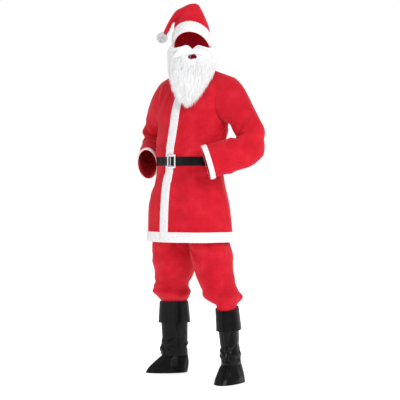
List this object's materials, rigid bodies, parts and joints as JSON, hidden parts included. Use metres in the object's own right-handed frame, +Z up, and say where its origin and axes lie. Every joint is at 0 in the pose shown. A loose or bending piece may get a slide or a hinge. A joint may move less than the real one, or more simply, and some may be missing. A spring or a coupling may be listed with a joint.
{
  "type": "santa suit",
  "caption": "Worn red and white costume suit: belted jacket, loose trousers, cuffed boot covers, floppy hat and a long beard, all open and hollow.",
  "frame": {"origin": "between the shoulders on the middle plane of the jacket, 1.50 m above the level of the wearer's soles", "axes": "+Z up, -Y to the front of the suit, +X to the suit's own left"},
  "size_m": [0.7729, 0.379, 1.8038],
  "materials": {
    "red_felt": "soft brushed red felt",
    "white_plush": "short white plush",
    "black_vinyl": "smooth black imitation leather",
    "silver_metal": "plated silver",
    "white_fibre": "fine white synthetic hair"
  },
  "bodies": {
    "root": {"jacket_left_front": "red_felt", "jacket_right_front": "red_felt", "jacket_back": "red_felt", "left_sleeve": "red_felt", "right_sleeve": "red_felt", "front_strip": "white_plush", "hem_strip": "white_plush", "left_cuff_strip": "white_plush", "right_cuff_strip": "white_plush", "belt_strap": "black_vinyl", "belt_buckle": "silver_metal", "trouser_left_front": "red_felt", "trouser_left_back": "red_felt", "trouser_right_front": "red_felt", "trouser_right_back": "red_felt", "trouser_waistband": "red_felt", "left_boot_shaft": "black_vinyl", "left_boot_cuff": "black_vinyl", "left_boot_spat": "black_vinyl", "right_boot_shaft": "black_vinyl", "right_boot_cuff": "black_vinyl", "right_boot_spat": "black_vinyl", "hat_front_panel": "red_felt", "hat_back_panel": "red_felt", "hat_band": "white_plush", "hat_pompom": "white_plush", "beard": "white_fibre", "moustache": "white_fibre"}
  },
  "joints": []
}
